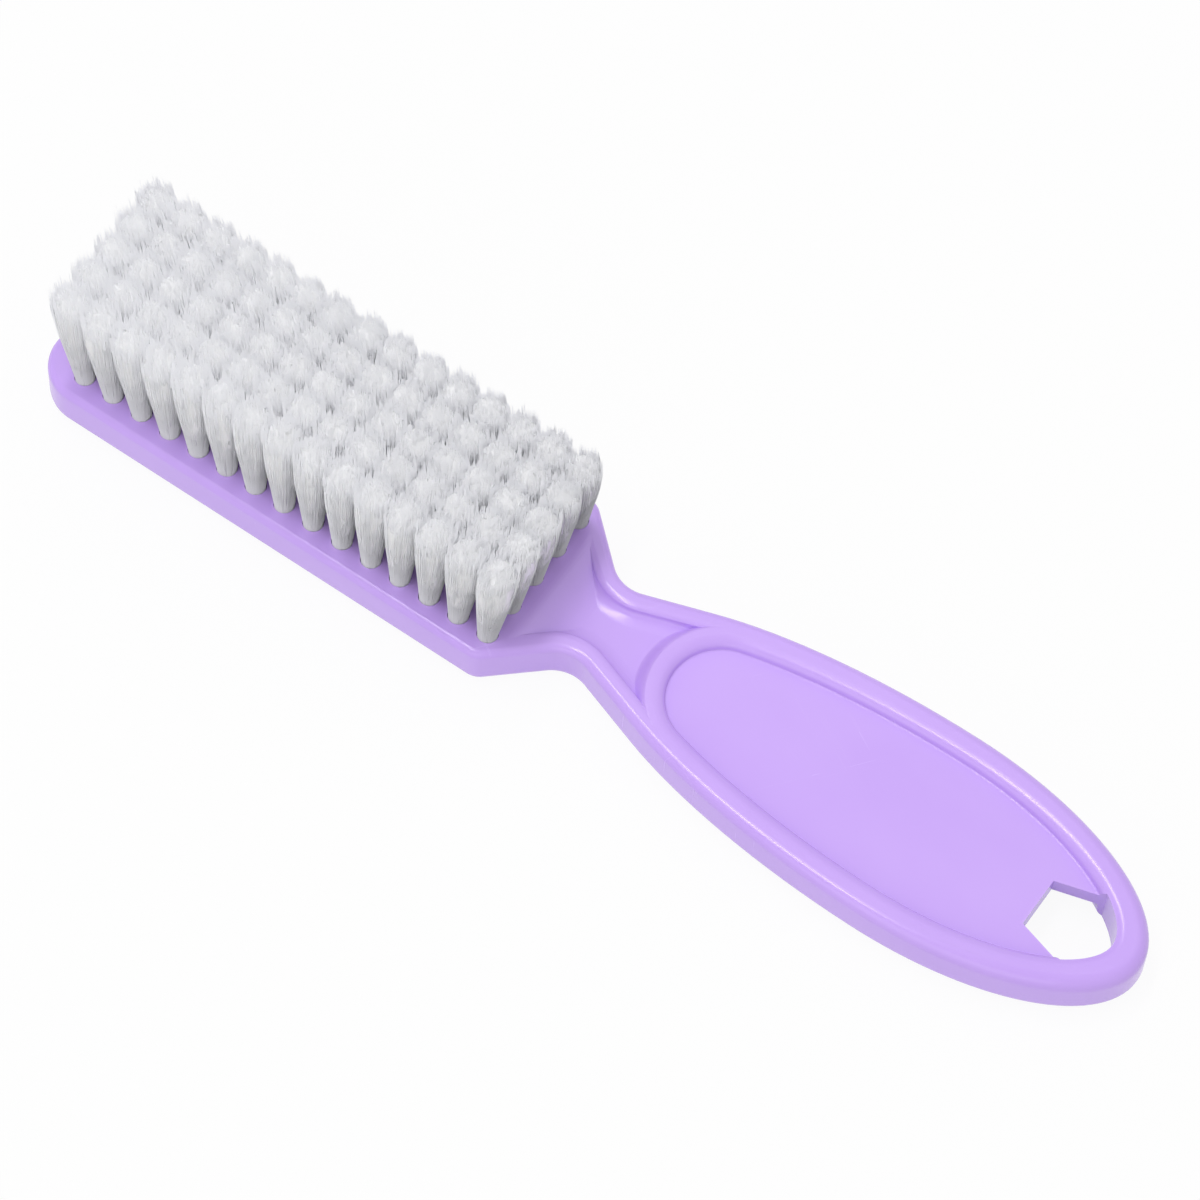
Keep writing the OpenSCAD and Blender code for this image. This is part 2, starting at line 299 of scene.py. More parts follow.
def body_block():
    """The body before anything is cut from it."""
    bm = bmesh.new()
    corner_y = HEAD_W / 2 - HEAD_CORNER_R
    shoulder_back = SHOULDER_R * math.tan(math.radians(SHOULDER_TURN / 2))
    shoulder = (shoulder_x - shoulder_back, HEAD_W / 2 - SHOULDER_R)
    outline = fill_half_outline(bm, [
        [bm.verts.new((head_x, 0, 0))],
        arc(bm, (head_x + HEAD_CORNER_R, corner_y), (HEAD_CORNER_R, HEAD_CORNER_R), 180, 90),
        arc(bm, shoulder, (SHOULDER_R, SHOULDER_R), 90, 90 - SHOULDER_TURN),
        neck_corner(bm),
        handle_front(bm, flare_touch, 90),
        handle_back(bm),
    ])
    extruded(bm, outline, body_h)
    note = note_growth(bm)
    rounded(bm, level_edges(bm, body_h), TOP_EDGE_R)
    rounded(bm, level_edges(bm, 0), BACK_EDGE_R)
    grow_round(bm, note)
    return object_from(bm, "brush_moulding")


moulding = body_block()
print("block has", len(moulding.data.polygons), "faces")

# %% [markdown]
# ## Tools that cut the pockets
#
# The recesses of the handle and the channel of the neck are pockets with rounded mouths and feet.
# Such a rounding could be bevelled after the cut, but bevels on the torn-up faces that a Boolean
# leaves are fragile. It is safer to shape the tool: a ledge round its mouth and a floor at its foot
# are rounded while the tool is still a clean mesh, and the cut then takes those rounds over. Where a
# pocket is shallower than its rounds are wide, it is made deep enough for them and then flattened.
# Each tool stands a hair above the face that it cuts, so that no two surfaces lie in one plane.

# %% Helpers that make cutting tools
OVERRUN = 3
DRAFT = 0.05
WALL_LEAST = 0.1


def inset(bm, face, thickness):
    """Draws the face in by thickness, and returns the faces of the band left round it."""
    return bmesh.ops.inset_region(
        bm, faces=[face], thickness=thickness, use_even_offset=True, use_boundary=True
    )["faces"]


def extrude_copy(bm, face, step):
    """Extrudes a face by a step, and keeps the face itself where it is."""
    made = bmesh.ops.extrude_face_region(bm, geom=[face], use_keep_orig=True)["geom"]
    bmesh.ops.translate(bm, verts=[v for v in made if isinstance(v, bmesh.types.BMVert)], vec=step)


def sink_pocket(bm, face, rim, edge_w, foot_w, depth):
    """Turns an outline at height 0 into a pocket tool whose mouth lies a hair above it."""
    rise = min(1, (depth - WALL_LEAST) / (edge_w + foot_w))
    band = inset(bm, face, rim)
    bmesh.ops.delete(bm, geom=band, context="FACES")
    bmesh.ops.reverse_faces(bm, faces=[face])
    bmesh.ops.translate(bm, verts=face.verts[:], vec=(0, 0, HAIR))
    extrude_copy(bm, face, (0, 0, OVERRUN))
    inset(bm, face, edge_w + HAIR)
    mouth = face.edges[:]
    inset(bm, face, DRAFT)
    bmesh.ops.translate(bm, verts=face.verts[:], vec=(0, 0, -depth / rise - HAIR))
    foot = face.edges[:]
    rounded(bm, foot, foot_w)
    rounded(bm, mouth, edge_w)
    bmesh.ops.scale(bm, verts=bm.verts[:], vec=(1, 1, rise))


def settle(obj):
    """Replaces the object's mesh by what its modifiers make of it."""
    bpy.context.view_layer.update()
    graph = bpy.context.evaluated_depsgraph_get()
    made = bpy.data.meshes.new_from_object(obj.evaluated_get(graph))
    obj.modifiers.clear()
    obj.data = made


def cut(block, tool):
    """Takes the tool's volume from the block, and puts the tool away."""
    step = block.modifiers.new("cut", "BOOLEAN")
    step.operation = "DIFFERENCE"
    step.solver = "EXACT"
    step.object = tool
    settle(block)
    bpy.data.objects.remove(tool)


# %% [markdown]
# ## The recesses of the handle
#
# The handle is an I in section: a rim stands round a web 2.5 mm thick, on the front and on the back.
# Both pockets have the same outline, and the front one is the shallower. The rim's inner side is one
# wide, flat round that ends in a crisp line on the web, and the rim grows wider round the tail's
# tip, where the brush is hung from it.

# %% Recess cuts
RIM_W = 2.1
TAIL_RIM_EXTRA = 0.9
RECESS_DEPTH = 1.4
WEB_T = 2.5
RECESS_END_R = 8.8
RECESS_EDGE_W = 1.7
RECESS_FOOT_W = 0.3

end_circle_r = RECESS_END_R + RIM_W
oval_focus2 = oval_front ** 2 - oval_half_w ** 2
end_circle_back = math.sqrt(oval_focus2 * (1 - (end_circle_r / oval_half_w) ** 2))
end_circle_x = oval_x - end_circle_back
end_touch = 180 - math.degrees(math.acos(end_circle_back * oval_front / oval_focus2))
touch_x = math.cos(math.radians(end_touch))
touch_y = math.sin(math.radians(end_touch))
end_meet = math.degrees(math.atan2(touch_y / oval_half_w, touch_x / oval_front))


def recess_face(bm):
    """The recess's outline before its rim is drawn in."""
    return fill_half_outline(bm, [
        arc(bm, (end_circle_x, 0), (end_circle_r, end_circle_r), 180, end_meet),
        handle_front(bm, end_touch, 90),
        handle_back(bm, TAIL_RIM_EXTRA),
    ])


def recess_tool(front, depth):
    """The pocket tool of one recess."""
    bm = bmesh.new()
    sink_pocket(bm, recess_face(bm), RIM_W, RECESS_EDGE_W, RECESS_FOOT_W, depth)
    if front:
        bmesh.ops.translate(bm, verts=bm.verts[:], vec=(0, 0, body_h))
    else:
        bmesh.ops.scale(bm, verts=bm.verts[:], vec=(1, 1, -1))
    return object_from(bm, "recess_tool")


cut(moulding, recess_tool(True, RECESS_DEPTH))
cut(moulding, recess_tool(False, body_h - RECESS_DEPTH - WEB_T))
print("web is", WEB_T, "mm thick; faces now", len(moulding.data.polygons))

# %% [markdown]
# ## The channel of the neck
#
# Between the tufts and the handle the face dips into a channel with a rim along each side. It starts
# with a soft ramp behind the last tufts and ends at the ring round the recess, where its two corners
# run out into sharp ears. The ramp and the ring are stops: solids taken from the channel's tool
# before it cuts, so that they stay standing in the body. Both fall to the floor in the same soft S,
# extruded across the neck for the ramp and spun about the recess's end for the ring.

# %% Channel cut
CHANNEL_DEPTH = 1.5
CHANNEL_RIM = 1.6
CHANNEL_EDGE_W = 1.0
CHANNEL_FOOT_W = 2.0
CHANNEL_START = 8
CHANNEL_PAST_EAR = 4.6
CHANNEL_RUN = 6
RING_W = 0.5
RING_SLOPE = 2.0
RING_STEPS = 120
RAMP_GAP = 0.35
RAMP_LEN = 7
SLOPE_STEPS = 16
COLUMNS = 15
HOLE_D = 2.75

channel_floor = body_h - CHANNEL_DEPTH


def column_x(i):
    """Middle of a column of tufts, read from its packed anchors."""
    low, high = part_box(f"anchor_col_{i + 1:02d}")
    return (low.x + high.x) / 2 / MM


def channel_tool():
    """The pocket tool of the channel, before its ends are shaped."""
    bm = bmesh.new()
    side = handle_front(bm, flare_touch, flare_touch - CHANNEL_PAST_EAR)
    end = side[-1].co + (side[-1].co - side[-2].co).normalized() * CHANNEL_RUN
    outline = fill_half_outline(bm, [
        [bm.verts.new((shoulder_x - CHANNEL_START, 0, 0))],
        [bm.verts.new((shoulder_x - CHANNEL_START, HEAD_W / 2, 0))],
        [bm.verts.new((shoulder_x, HEAD_W / 2, 0))],
        neck_corner(bm),
        side,
        [bm.verts.new(end)],
        [bm.verts.new((end.x, 0, 0))],
    ])
    sink_pocket(bm, outline, CHANNEL_RIM, CHANNEL_EDGE_W, CHANNEL_FOOT_W, CHANNEL_DEPTH)
    bmesh.ops.translate(bm, verts=bm.verts[:], vec=(0, 0, body_h))
    return object_from(bm, "channel_tool")


def draw_section(bm, points):
    """Draws an open section from points that are given along X and Z."""
    verts = [bm.verts.new((x, 0, z)) for x, z in points]
    for one, following in zip(verts, verts[1:]):
        bm.edges.new((one, following))
    return verts


def soft_slope(bm, start, run):
    """Draws the section under a soft S that falls from the face to the channel's floor."""
    top = body_h + 2 * HAIR
    bottom = channel_floor - HAIR
    points = [(0, top + 2 * OVERRUN), (start, top + 2 * OVERRUN)]
    for k in range(SLOPE_STEPS + 1):
        share = k / SLOPE_STEPS
        points.append((start + run * share, bottom + (top - bottom) * (1 + math.cos(math.pi * share)) / 2))
    points.append((start + run, channel_floor - OVERRUN))
    points.append((0, channel_floor - OVERRUN))
    return draw_section(bm, points)


def ring_stop():
    """The ring as a turned solid."""
    bm = bmesh.new()
    soft_slope(bm, RECESS_END_R + RING_W, RING_SLOPE)
    bmesh.ops.spin(
        bm, geom=bm.verts[:] + bm.edges[:], cent=(0, 0, 0), axis=(0, 0, 1),
        angle=2 * math.pi, steps=RING_STEPS, use_merge=True,
    )
    merge(bm)
    bmesh.ops.translate(bm, verts=bm.verts[:], vec=(end_circle_x, 0, 0))
    return object_from(bm, "ring_stop")


def ramp_stop():
    """Everything on the head's side of the ramp."""
    bm = bmesh.new()
    ramp_x = column_x(COLUMNS - 1) + HOLE_D / 2 + RAMP_GAP
    verts = soft_slope(bm, ramp_x - head_x, RAMP_LEN)
    bm.edges.new((verts[-1], verts[0]))
    face = bmesh.ops.edgeloop_fill(bm, edges=bm.edges[:])["faces"][0]
    extrude_copy(bm, face, (0, 2 * HEAD_W, 0))
    bmesh.ops.translate(bm, verts=bm.verts[:], vec=(head_x, -HEAD_W, 0))
    return object_from(bm, "ramp_stop")


channel = channel_tool()
cut(channel, ring_stop())
cut(channel, ramp_stop())
cut(moulding, channel)
print("channel is", CHANNEL_DEPTH, "mm deep; faces now", len(moulding.data.polygons))

# %% [markdown]
# ## The hanging hole
#
# The hole at the tail has a straight edge and two sides that spread until they meet the rim. Its
# round side is the recess's own wall carried through the web, so its tool is the recess's outline,
# trimmed by three planes.

# %% Hanging hole cut
HOLE_REACH = 14.7
HOLE_W = 6.9
HOLE_SPREAD = 16
HOLE_SIDE_SHARE = 0.7


def hanging_hole_tool():
    """The recess's outline, trimmed to the hole and carried through the web."""
    bm = bmesh.new()
    face = recess_face(bm)
    band = inset(bm, face, RIM_W + HOLE_SIDE_SHARE * RECESS_EDGE_W)
    bmesh.ops.delete(bm, geom=band, context="FACES")
    hole_x = tail_x - HOLE_REACH
    cuts = [((hole_x, 0, 0), (-1, 0, 0))]
    for side in (-1, 1):
        slope = math.radians(HOLE_SPREAD)
        cuts.append(((hole_x, side * HOLE_W / 2, 0), (-math.sin(slope), side * math.cos(slope), 0)))
    for place, outward in cuts:
        bmesh.ops.bisect_plane(
            bm, geom=bm.verts[:] + bm.edges[:] + bm.faces[:],
            plane_co=place, plane_no=outward, clear_outer=True,
        )
    extruded(bm, bm.faces[:][0], body_h + 2 * OVERRUN)
    bmesh.ops.translate(bm, verts=bm.verts[:], vec=(0, 0, -OVERRUN))
    return object_from(bm, "hanging_hole_tool")


cut(moulding, hanging_hole_tool())
print("hole is", HOLE_W, "mm wide at its straight edge; faces now", len(moulding.data.polygons))

# %% [markdown]
# ## The tuft holes
#
# A tufting machine fills one blind hole after another, fifteen along the head and five across. The
# columns and rows stand evenly. One step places the rows, and each column is read from its imported
# anchor, which lies in the middle of its holes.

# %% Tuft holes
ROWS = 5
HOLE_DEPTH = 5.2
HOLE_SEGMENTS = 32
SIDE_INSET = 3.6


def row_y(j):
    """Middle of a row of holes."""
    step = (HEAD_W - 2 * SIDE_INSET) / (ROWS - 1)
    return (j - (ROWS - 1) / 2) * step


def tuft_hole_tool():
    """One cylinder a hole."""
    bm = bmesh.new()
    for i in range(COLUMNS):
        for j in range(ROWS):
            middle = (column_x(i), row_y(j), body_h - HOLE_DEPTH + (HOLE_DEPTH + OVERRUN) / 2)
            bmesh.ops.create_cone(
                bm, cap_ends=True, segments=HOLE_SEGMENTS, radius1=HOLE_D / 2, radius2=HOLE_D / 2,
                depth=HOLE_DEPTH + OVERRUN, matrix=Matrix.Translation(middle),
            )
    return object_from(bm, "tuft_hole_tool")


cut(moulding, tuft_hole_tool())
print(COLUMNS * ROWS, "holes; faces now", len(moulding.data.polygons))

# %% [markdown]
# ## Shading the body
#
# A face that a Boolean has cut up shades badly when its corners share smooth normals with the small
# faces of a round. Weighted normals let the largest face at a corner decide, so flat areas look flat
# and the rounds carry the whole turn. Edges sharper than 35 degrees, such as the mouths of the
# holes, are kept sharp.

# %% Body normals and place
SHARP_FROM = 35


def to_metres(obj):
    """Joins what the cuts left a hair apart, and scales the mesh from millimetres to metres."""
    bm = bmesh.new()
    bm.from_mesh(obj.data)
    merge(bm)
    bmesh.ops.dissolve_degenerate(bm, edges=bm.edges[:], dist=TOUCHING)
    open_edges = sum(not e.is_manifold for e in bm.edges)
    print(f"{obj.name}: {len(bm.faces)} faces, {bm.calc_volume():.1f} cubic mm, {open_edges} open edges")
    bmesh.ops.scale(bm, verts=bm.verts[:], vec=(MM, MM, MM))
    bm.to_mesh(obj.data)
    bm.free()


def shade(obj, sharp_from):
    """Smooth shading with sharp edges kept."""
    obj.data.shade_smooth()
    obj.data.set_sharp_from_angle(angle=math.radians(sharp_from))
    weighted = obj.modifiers.new("weighted", "WEIGHTED_NORMAL")
    weighted.keep_sharp = True
    weighted.weight = 50


to_metres(moulding)
shade(moulding, SHARP_FROM)
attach(moulding, "root")
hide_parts("brush_body")
print("body", [round(v, 4) for v in moulding.dimensions])

# %% [markdown]
# ## The filaments
#
# A tuft is a bundle of nylon filaments, folded in the middle round a short piece of flat wire that
# is driven into the hole. Each filament is therefore one long U: down from a tip, round under the wire,
# and up to the other tip. A spline with a section of four sides draws it in thirteen points, with a
# radius at each point that thins the tips. Hair particles would be quicker to set up, but they
# aren't meshes and would be lost from the model.
#
# Above the hole the bundle opens like a tulip and ends in a soft dome, because the outer filaments
# are pressed apart and end lower. Filaments cling to their neighbours, so they draw together in
# clumps towards their tips, and each clump bends and ends in its own way. This gives the mass its
# streaks and each tuft its crown of spikes. A few filaments go astray. The columns at the head's end
# lean outwards, those next to the neck a little the other way, and the outer rows lean in.
#
# So many filaments stand in a tuft that those in its middle can't be told apart. The middle is
# therefore one turned core. Whole filaments stand round it, where their full length shows, and of
# the buried ones only the tips are drawn, which stand out of its dome.
#
# In real nylon the light passes from filament to filament many times, so a white tuft is nearly as
# bright in its gaps as on its crown. A few bounces between hard tubes would leave it grey. The
# normals that the filaments are shaded with are therefore turned towards the sky, which shades a
# bundle like one soft surface and leaves its shape as it is. This suits light from above. Under
# light from below or from one side the tufts look too even.

# %% Sizes of a tuft
FOLDS = 54
TIPS = 380
TIP_LEN = 2.4
FILAMENT_D = 0.12
BUNDLE_R = 1.24
RING_FROM = 0.9
FLARE = 1.1
FLARE_POWER = 1.3
FLARE_HEIGHT = 15
TUFT_TOP = 18.0
DOME_DROP = 2.2
TIP_SCATTER = 0.7
SWAY = 0.05
CLUMPS = 24
CLUMP_PULL = 0.2
CLUMP_POWER = 3
CLUMP_SCATTER = 0.25
CLUMP_SWAY = 0.08
STRAY_SHARE = 0.01
STRAY_SWAY = 0.5
LEAN_HEAD = 7
LEAN_NECK = 2.5
LEAN_IN = 3.5
ANCHOR_TURN = 40
ANCHOR_Z = 2.9
ANCHOR_H = 1.6
ANCHOR_T = 0.35
FOLD_T = 0.9
GOLDEN_TURN = 137.508
SKYWARD = 3
SEED = 100
TIP_MERGE = FILAMENT_D / 400
LEG_SHARES = (0, 0.3, 0.58, 0.82, 1)
LEG_RADII = (1, 1, 1, 0.9, 0.35)
TIP_SHARES = (0, 0.6, 1)
TIP_RADII = (1, 0.9, 0.35)

top_limit = cad_high.z / MM - body_h - FILAMENT_D / 2


def opening(height):
    """How many times wider than at its hole a tuft is at a height above the face."""
    turn = math.pi / 2 * min(1, height / FLARE_HEIGHT)
    return 1 + FLARE * math.sin(turn) ** FLARE_POWER


def spread_places(count, inner):
    """Evenly spread places between a share of the bundle's radius and its edge."""
    places = []
    for k in range(count):
        share = (k + 0.5) / count
        spot = Vector((BUNDLE_R * math.sqrt(inner ** 2 + (1 - inner ** 2) * share), 0))
        spot.rotate(Matrix.Rotation(math.radians(k * GOLDEN_TURN), 2))
        places.append(spot)
    return places


def clump_set(dice):
    """The clumps of a tuft: where each stands in the bundle, how high it ends and how far it bends."""
    return [
        (
            spot,
            TUFT_TOP - DOME_DROP * (spot.length / BUNDLE_R) ** 2 + dice.gauss(0, CLUMP_SCATTER),
            Vector((dice.gauss(0, CLUMP_SWAY), dice.gauss(0, CLUMP_SWAY))),
        )
        for spot in spread_places(CLUMPS, 0)
    ]


def filament_end(dice, start, lean, clumps, shares, radii, length=None):
    """Points of the last length of a filament, drawn to its clump, with their shares of its radius."""
    spot, clump_top, bend_aside = min(clumps, key=lambda clump: (clump[0] - start).length_squared)
    top = min(clump_top + dice.gauss(0, TIP_SCATTER), top_limit)
    loose = STRAY_SWAY if dice.random() < STRAY_SHARE else SWAY
    sway = bend_aside + Vector((dice.gauss(0, loose), dice.gauss(0, loose)))
    points = []
    for share, radius in zip(shares, radii):
        height = top - (length or top) * (1 - share)
        drawn = (height / top) ** CLUMP_POWER
        place = start.lerp(spot, CLUMP_PULL * drawn) * opening(height)
        across = place + height * lean + sway * drawn
        points.append((Vector((across.x, across.y, body_h + height)), radius))
    return points


def buried_tip(dice, start, lean, clumps):
    """Points of the end of a buried filament, which starts inside the core."""
    return filament_end(dice, start, lean, clumps, TIP_SHARES, TIP_RADII, TIP_LEN)


def folded_filament(dice, place, turn, lean, clumps):
    """Points of a filament from tip to tip, round under the wire."""
    legs = []
    for side in (1, -1):
        start = Vector((side * place.x, place.y))
        start.rotate(Matrix.Rotation(turn, 2))
        legs.append(filament_end(dice, start, lean, clumps, LEG_SHARES, LEG_RADII))
    under = ANCHOR_Z - FILAMENT_D / 2 - (FOLD_T - FILAMENT_D) * abs(place.x) / BUNDLE_R
    bend = []
    for across, height in ((1, ANCHOR_Z + ANCHOR_H / 4), (0, under), (-1, ANCHOR_Z + ANCHOR_H / 4)):
        spot = Vector((across * place.x, place.y))
        spot.rotate(Matrix.Rotation(turn, 2))
        bend.append((Vector((spot.x, spot.y, height)), 1))
    return legs[0][::-1] + bend + legs[1]


def fold_places():
    """Places of the whole filaments on one side of the wire, which leaves about FOLDS of them."""
    wire_side = ANCHOR_T / 2 + FILAMENT_D / 2
    return [Vector((max(p.x, wire_side), p.y)) for p in spread_places(2 * FOLDS, RING_FROM) if p.x > 0]


print(len(fold_places()), "folded filaments and", TIPS, "buried ones in a tuft")

# %% Core of a tuft
CORE_SHARE = 0.95
CORE_SIDES = 32
CORE_FROM = -2
CORE_LEVELS = 8
CORE_DOME_FROM = 13.4
CORE_TOP = 16.9
DOME_LEVELS = 6
CORE_ROUGH = 0.05


def core_section(bm):
    """Draws half the section of a core, from its foot in the hole to the top of its dome."""
    points = [(0, CORE_FROM)]
    for k in range(CORE_LEVELS + 1):
        height = CORE_FROM + (CORE_DOME_FROM - CORE_FROM) * k / CORE_LEVELS
        points.append((CORE_SHARE * BUNDLE_R * opening(max(0, height)), height))
    widest = points[-1][0]
    for k in range(1, DOME_LEVELS + 1):
        turn = math.radians(90 * k / DOME_LEVELS)
        height = CORE_DOME_FROM + (CORE_TOP - CORE_DOME_FROM) * math.sin(turn)
        points.append((widest * math.cos(turn), height))
    return draw_section(bm, points)


def tuft_core(bm, dice, lean, middle):
    """Turns the core of one tuft, roughens it and leans it, with a tone for each of its sides."""
    section = core_section(bm)
    edges = [e for e in bm.edges if e.verts[0] in section]
    bmesh.ops.spin(
        bm, geom=section + edges, cent=(0, 0, 0), axis=(0, 0, 1),
        angle=2 * math.pi, steps=CORE_SIDES, use_merge=True,
    )
    merge(bm)
    layer = bm.verts.layers.float.get("tone") or bm.verts.layers.float.new("tone")
    tones = [dice.random() for _ in range(CORE_SIDES + 1)]
    turned_now = [v for v in bm.verts if not v.tag]
    leaning = Matrix.Identity(4)
    leaning[0][2], leaning[1][2] = lean
    for vert in turned_now:
        vert.tag = True
        vert[layer] = tones[round((math.atan2(vert.co.y, vert.co.x) / math.tau + 0.5) * CORE_SIDES)]
        if vert.co.z > 0:
            vert.co += Vector([dice.gauss(0, CORE_ROUGH) for _ in range(3)])
    standing = Matrix.Translation(middle + Vector((0, 0, body_h))) @ leaning
    bmesh.ops.transform(bm, verts=turned_now, matrix=standing)


print("a core is up to", round(2 * CORE_SHARE * BUNDLE_R * opening(CORE_DOME_FROM), 2), "mm wide")

# %% Tufts, one piece a column
TUBE_SIDES = 4


def filament_spline(curve, points, middle):
    """Adds one filament to a curve, and returns how many points its tube will have."""
    spline = curve.splines.new("POLY")
    spline.points.add(len(points) - 1)
    for slot, (place, radius) in zip(spline.points, points):
        slot.co = (*(place + middle), 1)
        slot.radius = radius
    return TUBE_SIDES * (len(points) + 2)


def finish_filaments(dice, mesh, counts):
    """Gives each filament its own tone, closes its tips and scales the mesh to metres."""
    tones = []
    for count in counts:
        tones += [dice.random()] * count
    tone = mesh.attributes.new("tone", "FLOAT", "POINT")
    tone.data.foreach_set("value", tones)
    bm = bmesh.new()
    bm.from_mesh(mesh)
    merge(bm, TIP_MERGE)
    bmesh.ops.scale(bm, verts=bm.verts[:], vec=(MM, MM, MM))
    bm.to_mesh(mesh)
    bm.free()
    mesh.shade_smooth()
    lifted = [(vert.normal + Vector((0, 0, SKYWARD))).normalized() for vert in mesh.vertices]
    mesh.normals_split_custom_set_from_vertices(lifted)


def tuft_column(i):
    """The five tufts of a column: their filaments as one piece and their cores as another."""
    dice = random.Random(SEED + i)
    curve = bpy.data.curves.new("filaments", "CURVE")
    curve.dimensions = "3D"
    curve.bevel_depth = FILAMENT_D / 2
    curve.bevel_resolution = 0
    curve.use_fill_caps = True
    lean_x = -LEAN_HEAD + (LEAN_HEAD + LEAN_NECK) * i / (COLUMNS - 1)
    cores = bmesh.new()
    counts = []
    for j in range(ROWS):
        lean_y = LEAN_IN * (1 - 2 * j / (ROWS - 1))
        lean = Vector((math.tan(math.radians(lean_x)), math.tan(math.radians(lean_y))))
        turn = math.radians(ANCHOR_TURN + 90)
        middle = Vector((column_x(i), row_y(j), 0))
        clumps = clump_set(dice)
        for place in fold_places():
            counts.append(filament_spline(curve, folded_filament(dice, place, turn, lean, clumps), middle))
        for place in spread_places(TIPS, 0):
            counts.append(filament_spline(curve, buried_tip(dice, place, lean, clumps), middle))
        tuft_core(cores, dice, lean, middle)
    drawn = bpy.data.objects.new("filaments", curve)
    bpy.context.scene.collection.objects.link(drawn)
    graph = bpy.context.evaluated_depsgraph_get()
    settled = bpy.data.meshes.new_from_object(drawn.evaluated_get(graph))
    bpy.data.objects.remove(drawn)
    bpy.data.curves.remove(curve)
    tufts = bpy.data.objects.new(f"tufts_{i + 1:02d}", settled)
    bpy.context.scene.collection.objects.link(tufts)
    finish_filaments(dice, settled, counts)
    bmesh.ops.scale(cores, verts=cores.verts[:], vec=(MM, MM, MM))
    mass = object_from(cores, f"tuft_cores_{i + 1:02d}")
    mass.data.shade_smooth()
    return tufts, mass, len(counts)


tuft_pieces = []
core_pieces = []
for i in range(COLUMNS):
    tufts, mass, strands = tuft_column(i)
    for piece in (tufts, mass):
        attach(piece, "root")
        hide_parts(f"tuft_col_{i + 1:02d}")
    tuft_pieces.append(tufts)
    core_pieces.append(mass)
print(COLUMNS, "columns,", strands, "filaments each,", len(tufts.data.polygons), "faces each")

# %% [markdown]
# ## Effects that the finishes share
#
# The moulding, the nylon and the wire differ in colour, but the same things happen to all of them:
# their surface has a fine grain, it was handled or drawn, and its edges rub. Each effect is a node
# group that is built once, and each finish places it with its own values. The patterns lie on Object
# coordinates, in metres, so their size on the brush is known and they don't slide.

# %% Shader helpers


def new_group(name, inputs, outputs):
    """A shader node group with its named sockets."""
    group = bpy.data.node_groups.new(name, "ShaderNodeTree")
    for label, kind, value in inputs:
        group.interface.new_socket(label, in_out="INPUT", socket_type=kind).default_value = value
    for label, kind in outputs:
        group.interface.new_socket(label, in_out="OUTPUT", socket_type=kind)
    return group, group.nodes.new("NodeGroupInput"), group.nodes.new("NodeGroupOutput")


def object_place(nodes):
    """Places on the piece, in metres."""
    return nodes.new("ShaderNodeTexCoord").outputs["Object"]


def math_node(tree, operation, first, second):
    """A sum on two values, each a socket or a number."""
    node = tree.nodes.new("ShaderNodeMath")
    node.operation = operation
    for slot, value in zip(node.inputs, (first, second)):
        if isinstance(value, (int, float)):
            slot.default_value = value
        else:
            tree.links.new(value, slot)
    return node.outputs[0]


def ranged(tree, value, low, high):
    """Stretches a value so that low becomes 0 and high becomes 1, each a socket or a number."""
    node = tree.nodes.new("ShaderNodeMapRange")
    tree.links.new(value, node.inputs["Value"])
    for label, limit in (("From Min", low), ("From Max", high)):
        if isinstance(limit, (int, float)):
            node.inputs[label].default_value = limit
        else:
            tree.links.new(limit, node.inputs[label])
    return node.outputs["Result"]


# %% Grain group
FLOAT, VECTOR = "NodeSocketFloat", "NodeSocketVector"

grain, entry, leave = new_group(
    "surface_grain",
    [("Waves a metre", VECTOR, (2000, 2000, 2000)), ("Detail", FLOAT, 3)],
    [("Height", FLOAT)],
)
stretch = grain.nodes.new("ShaderNodeVectorMath")
stretch.operation = "MULTIPLY"
pattern = grain.nodes.new("ShaderNodeTexNoise")
pattern.inputs["Scale"].default_value = 1
grain.links.new(object_place(grain.nodes), stretch.inputs[0])
grain.links.new(entry.outputs["Waves a metre"], stretch.inputs[1])
grain.links.new(stretch.outputs[0], pattern.inputs["Vector"])
grain.links.new(entry.outputs["Detail"], pattern.inputs["Detail"])
grain.links.new(pattern.outputs["Fac"], leave.inputs["Height"])
print(grain.name, "has", len(grain.nodes), "nodes")

# %% Edge wear group
edge_wear, entry, leave = new_group(
    "edge_wear",
    [("Radius", FLOAT, 0.0006), ("Start", FLOAT, 0.004), ("Full", FLOAT, 0.05)],
    [("Mask", FLOAT)],
)
softened = edge_wear.nodes.new("ShaderNodeBevel")
softened.samples = 4
true_normal = edge_wear.nodes.new("ShaderNodeNewGeometry")
agreement = edge_wear.nodes.new("ShaderNodeVectorMath")
agreement.operation = "DOT_PRODUCT"
patchy = edge_wear.nodes.new("ShaderNodeTexNoise")
patchy.inputs["Scale"].default_value = 260
patchy.inputs["Detail"].default_value = 4
edge_wear.links.new(entry.outputs["Radius"], softened.inputs["Radius"])
edge_wear.links.new(softened.outputs[0], agreement.inputs[0])
edge_wear.links.new(true_normal.outputs["Normal"], agreement.inputs[1])
edge_wear.links.new(object_place(edge_wear.nodes), patchy.inputs["Vector"])
bent = math_node(edge_wear, "SUBTRACT", 1, agreement.outputs["Value"])
rubbed = ranged(edge_wear, bent, entry.outputs["Start"], entry.outputs["Full"])
worn = math_node(edge_wear, "MULTIPLY", rubbed, ranged(edge_wear, patchy.outputs["Fac"], 0.3, 0.6))
edge_wear.links.new(worn, leave.inputs["Mask"])
print(edge_wear.name, "has", len(edge_wear.nodes), "nodes")

